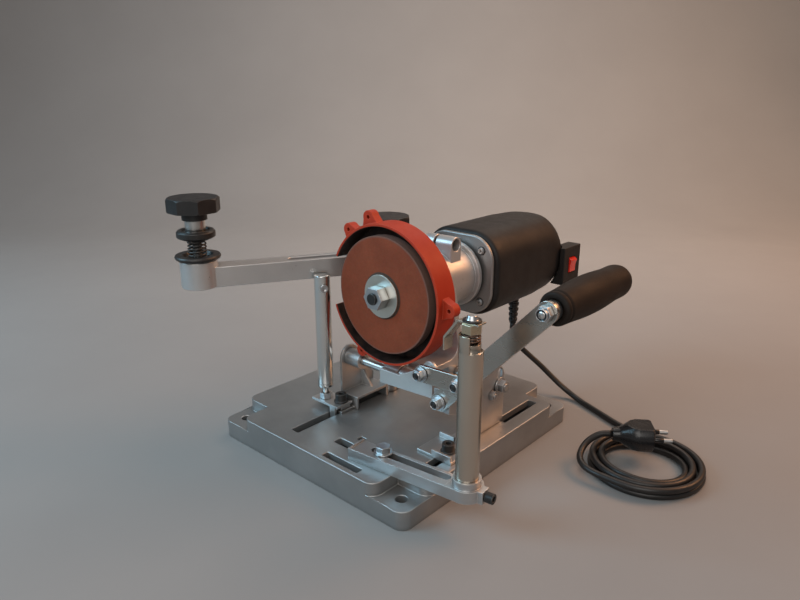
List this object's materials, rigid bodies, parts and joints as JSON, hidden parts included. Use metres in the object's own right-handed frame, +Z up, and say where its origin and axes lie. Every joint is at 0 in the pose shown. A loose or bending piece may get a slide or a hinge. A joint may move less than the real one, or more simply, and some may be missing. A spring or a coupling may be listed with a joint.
{
  "type": "saw blade sharpener",
  "caption": "Bench saw blade sharpener: motor-driven grinding wheel in an open guard on a lever-moved slide, with a blade arm, rests and a slotted cast base.",
  "frame": {"origin": "middle of the base's underside", "axes": "+Z up, +X along the base's front edge to the right, +Y back along the spindle"},
  "size_m": [0.479, 0.4431, 0.2805],
  "materials": {
    "cast_alloy": "silver-painted casting",
    "zinc_steel": "zinc plated",
    "bright_steel": "bright drawn",
    "black_steel": "black oxide",
    "yellow_zinc": "yellow zinc",
    "black_plastic": "fine texture",
    "red_plastic": "moulded",
    "rocker_red": "moulded",
    "abrasive": "bonded grit",
    "grip_rubber": "soft grip",
    "cord_rubber": "smooth sheath",
    "iron_core": "laminated",
    "bearing_steel": "ground"
  },
  "bodies": {
    "base": {"base_plate": "cast_alloy", "left_bracket": "zinc_steel", "right_bracket": "zinc_steel", "rod_bushes": "zinc_steel", "guide_rod": "bright_steel", "bracket_screws": "black_steel", "slot_nuts": "zinc_steel", "stop_bolt": "zinc_steel", "pivot_c": "zinc_steel", "arm_column": "bright_steel"},
    "carriage": {"carriage_block": "cast_alloy", "pivot_a": "zinc_steel", "power_cord": "cord_rubber", "cord_coil": "cord_rubber", "plug_lead": "cord_rubber", "plug_body": "cord_rubber", "plug_pins": "bearing_steel"},
    "head": {"motor_support": "cast_alloy", "clamp_screw": "black_steel", "motor_flange": "cast_alloy", "motor_screws": "zinc_steel", "motor_housing": "black_plastic", "stator": "iron_core", "bearings": "bearing_steel", "switch_box": "black_plastic", "strain_relief": "cord_rubber", "wheel_guard": "red_plastic"},
    "spindle": {"spindle": "black_steel", "rotor": "iron_core", "wheel_flanges": "zinc_steel", "grinding_wheel": "abrasive", "wheel_nut": "zinc_steel"},
    "rocker": {"rocker": "rocker_red"},
    "tilt_clamp": {"rear_rod": "bright_steel", "tilt_nut": "zinc_steel"},
    "link": {"lever_link": "bright_steel"},
    "lever": {"lever": "bright_steel", "pivot_b": "zinc_steel", "grip_bolt": "zinc_steel"},
    "grip": {"grip": "grip_rubber"},
    "arm": {"blade_arm": "cast_alloy", "arm_washer": "zinc_steel", "centring_cone": "black_plastic", "clamp_stud": "black_steel", "clamp_spring": "black_steel"},
    "arm_knob": {"arm_knob": "black_plastic"},
    "clamp_disc": {"clamp_disc": "black_plastic"},
    "clamp_knob": {"clamp_knob": "black_plastic", "clamp_sleeve": "bright_steel"},
    "left_post": {"left_post": "bright_steel", "post_foot": "zinc_steel", "post_nut": "zinc_steel"},
    "bar_bolt": {"bar_bolt": "zinc_steel"},
    "bar": {"slotted_bar": "zinc_steel", "post_screw": "black_steel"},
    "right_post": {"right_post": "bright_steel", "pawl_spring": "black_steel"},
    "pawl": {"pawl": "yellow_zinc", "pawl_bolt": "zinc_steel", "pawl_nut": "yellow_zinc"}
  },
  "joints": [
    {"name": "head_slide", "type": "slide", "parent": "base", "child": "carriage", "axis": [1, 0, 0], "range_m": [-0.006, 0.008]},
    {"name": "head_tilt", "type": "hinge", "parent": "carriage", "child": "head", "pos_m": [0.06, -0.036, 0.09], "axis": [1, 0, 0], "range_deg": [0, 10]},
    {"name": "clamp_tilt", "type": "hinge", "parent": "base", "child": "tilt_clamp", "pos_m": [0.06, -0.036, 0.09], "axis": [1, 0, 0], "range_deg": [0, 10]},
    {"name": "spindle_spin", "type": "hinge", "parent": "head", "child": "spindle", "pos_m": [0.028, -0.051, 0.183], "axis": [0, 1, 0], "continuous": true},
    {"name": "rocker_press", "type": "hinge", "parent": "head", "child": "rocker", "pos_m": [0.084, 0.232, 0.17], "axis": [0, 1, 0], "range_deg": [-16, 0]},
    {"name": "lever_swing", "type": "hinge", "parent": "base", "child": "lever", "pos_m": [0.108, -0.059, 0.09], "axis": [0, -1, 0], "range_deg": [-17.1, 12.8]},
    {"name": "link_swing", "type": "hinge", "parent": "carriage", "child": "link", "pos_m": [0.088, -0.063, 0.116], "axis": [0, -1, 0], "range_deg": [-10.2, 7.7]},
    {"name": "grip_spin", "type": "hinge", "parent": "lever", "child": "grip", "pos_m": [0.22116, 0.014, 0.21008], "axis": [0, 1, 0], "continuous": true},
    {"name": "arm_swing", "type": "hinge", "parent": "base", "child": "arm", "pos_m": [-0.035, 0.018, 0.185], "axis": [0, 0, 1], "range_deg": [-45, 0]},
    {"name": "arm_knob_turn", "type": "hinge", "parent": "base", "child": "arm_knob", "pos_m": [-0.035, 0.018, 0.236], "axis": [0, 0, 1], "continuous": true},
    {"name": "clamp_disc_slide", "type": "slide", "parent": "arm", "child": "clamp_disc", "axis": [0, 0, 1], "range_m": [-0.006, 0], "stiffness_N_per_m": 900, "springref_m": 0.004, "deforming": ["clamp_spring"]},
    {"name": "clamp_knob_turn", "type": "hinge", "parent": "arm", "child": "clamp_knob", "pos_m": [-0.13681, -0.16567, 0.27], "axis": [0, 0, 1], "continuous": true},
    {"name": "left_post_slide", "type": "slide", "parent": "base", "child": "left_post", "axis": [0, 1, 0], "range_m": [-0.01, 0]},
    {"name": "bar_slide", "type": "slide", "parent": "base", "child": "bar_bolt", "axis": [1, 0, 0], "range_m": [-0.02, 0.006]},
    {"name": "bar_swivel", "type": "hinge", "parent": "bar_bolt", "child": "bar", "pos_m": [0.08, -0.112, 0.04], "axis": [0, 0, 1], "range_deg": [-25, 4]},
    {"name": "post_turn", "type": "hinge", "parent": "bar", "child": "right_post", "pos_m": [0.17448, -0.10207, 0.1], "axis": [0, 0, 1], "range_deg": [-90, 90]},
    {"name": "pawl_turn", "type": "hinge", "parent": "right_post", "child": "pawl", "pos_m": [0.17448, -0.10207, 0.2], "axis": [0, 0, 1], "range_deg": [-60, 60]}
  ],
  "couplings": [
    {"joint": "lever_swing", "follows": "head_slide", "rad_per_m": -37},
    {"joint": "link_swing", "follows": "head_slide", "rad_per_m": -22},
    {"joint": "clamp_tilt", "follows": "head_tilt", "ratio": 1}
  ]
}
